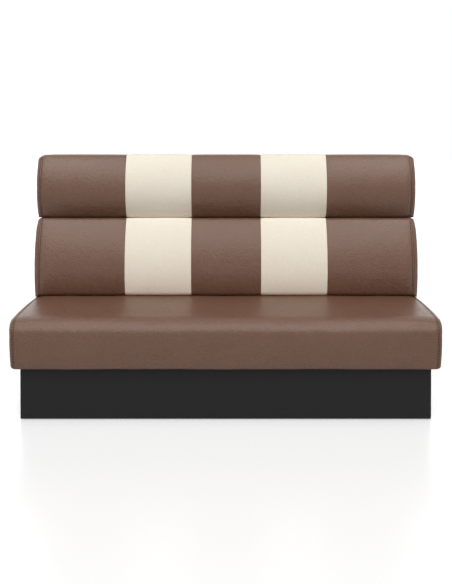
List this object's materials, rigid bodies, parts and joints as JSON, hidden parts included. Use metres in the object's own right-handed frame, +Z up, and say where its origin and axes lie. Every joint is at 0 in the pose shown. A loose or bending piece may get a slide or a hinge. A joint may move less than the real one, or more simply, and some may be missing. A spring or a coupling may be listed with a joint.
{
  "type": "modular bench sofa",
  "caption": "Straight upholstered bench module: one deep seat cushion, a back of two stacked padded rolls with contrasting panels, and a boxed plinth on levelling feet.",
  "frame": {"origin": "on the floor under the middle of the module, with the feet screwed right in", "axes": "+X along the bench to its right end seen from the front, +Y to the rear, +Z up"},
  "size_m": [1.8, 0.65, 1.11],
  "materials": {
    "brown_leatherette": "embossed leatherette, fine pebble grain, satin",
    "cream_leatherette": "embossed leatherette, fine pebble grain, satin",
    "black_laminate": "black melamine laminate on board, matt",
    "plywood": "birch plywood, raw",
    "timber": "planed pine, raw",
    "hardboard": "hardboard, raw",
    "foam": "open-cell foam",
    "webbing": "woven elastic webbing",
    "dust_cover": "black spunbonded cloth",
    "zinc_steel": "zinc-plated steel",
    "nylon": "black moulded nylon"
  },
  "bodies": {
    "bench": {"plinth_front_board": "black_laminate", "plinth_rear_board": "black_laminate", "plinth_left_end_board": "black_laminate", "plinth_right_end_board": "black_laminate", "plinth_cross_rails": "plywood", "plinth_corner_blocks": "timber", "plinth_fixing_blocks": "timber", "plinth_screws": "zinc_steel", "foot_inserts": "zinc_steel", "seat_fixing_screws": "zinc_steel", "seat_front_rail": "timber", "seat_rear_rail": "timber", "seat_end_rails": "timber", "seat_cross_rails": "timber", "seat_webbing_long": "webbing", "seat_webbing_short": "webbing", "seat_foam": "foam", "seat_cover_main": "brown_leatherette", "seat_cover_left_end": "brown_leatherette", "seat_cover_right_end": "brown_leatherette", "seat_dust_cover": "dust_cover", "back_uprights": "timber", "back_top_rail": "timber", "back_bottom_rail": "timber", "back_middle_rails": "timber", "back_front_board": "plywood", "back_rear_board": "hardboard", "back_cover_rear": "brown_leatherette", "back_cover_border": "brown_leatherette", "linking_inserts": "zinc_steel", "back_fixing_inserts": "zinc_steel", "back_fixing_bolts": "zinc_steel", "roll_fixing_bolts": "zinc_steel", "roll_tee_nuts": "zinc_steel", "lower_roll_board": "plywood", "lower_roll_foam": "foam", "lower_cover_brown_left": "brown_leatherette", "lower_cover_brown_centre": "brown_leatherette", "lower_cover_brown_right": "brown_leatherette", "lower_cover_left_end": "brown_leatherette", "lower_cover_right_end": "brown_leatherette", "lower_cover_cream_left": "cream_leatherette", "lower_cover_cream_right": "cream_leatherette", "upper_roll_board": "plywood", "upper_roll_foam": "foam", "upper_cover_brown_left": "brown_leatherette", "upper_cover_brown_centre": "brown_leatherette", "upper_cover_brown_right": "brown_leatherette", "upper_cover_left_end": "brown_leatherette", "upper_cover_right_end": "brown_leatherette", "upper_cover_cream_left": "cream_leatherette", "upper_cover_cream_right": "cream_leatherette"},
    "foot_front_left": {"foot_pad_front_left": "nylon", "foot_stem_front_left": "zinc_steel"},
    "foot_front_right": {"foot_pad_front_right": "nylon", "foot_stem_front_right": "zinc_steel"},
    "foot_rear_left": {"foot_pad_rear_left": "nylon", "foot_stem_rear_left": "zinc_steel"},
    "foot_rear_right": {"foot_pad_rear_right": "nylon", "foot_stem_rear_right": "zinc_steel"}
  },
  "joints": [
    {"name": "adjust_front_left", "type": "slide", "parent": "bench", "child": "foot_front_left", "axis": [0, 0, -1], "range_m": [0, 0.012]},
    {"name": "adjust_front_right", "type": "slide", "parent": "bench", "child": "foot_front_right", "axis": [0, 0, -1], "range_m": [0, 0.012]},
    {"name": "adjust_rear_left", "type": "slide", "parent": "bench", "child": "foot_rear_left", "axis": [0, 0, -1], "range_m": [0, 0.012]},
    {"name": "adjust_rear_right", "type": "slide", "parent": "bench", "child": "foot_rear_right", "axis": [0, 0, -1], "range_m": [0, 0.012]}
  ]
}
